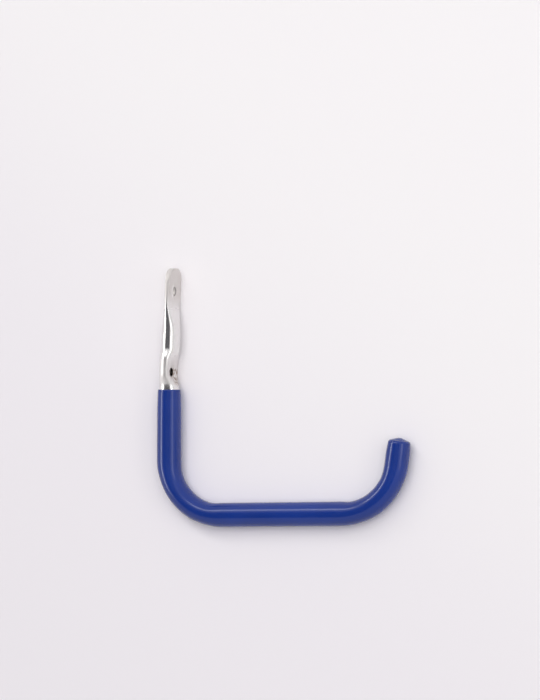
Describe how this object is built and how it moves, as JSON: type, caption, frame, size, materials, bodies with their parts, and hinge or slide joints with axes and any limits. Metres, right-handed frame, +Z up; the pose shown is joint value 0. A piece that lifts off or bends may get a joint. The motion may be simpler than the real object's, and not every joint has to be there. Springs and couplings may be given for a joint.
{
  "type": "garage utility hook",
  "caption": "J-shaped steel tube hook with a crushed, pierced upper end for wall screws and a glossy vinyl coating.",
  "frame": {"origin": "midway between the two screw holes, on the tube's centre plane", "axes": "+Z up along the flange, +X straight out from the wall along the screw holes, towards the hook's mouth, and the hook lies in the XZ plane"},
  "size_m": [0.1671, 0.0196, 0.1583],
  "materials": {
    "plated_steel": "bright plated",
    "vinyl": "dipped, glossy"
  },
  "bodies": {
    "root": {"steel_tube": "plated_steel", "vinyl_coating": "vinyl"}
  },
  "joints": []
}
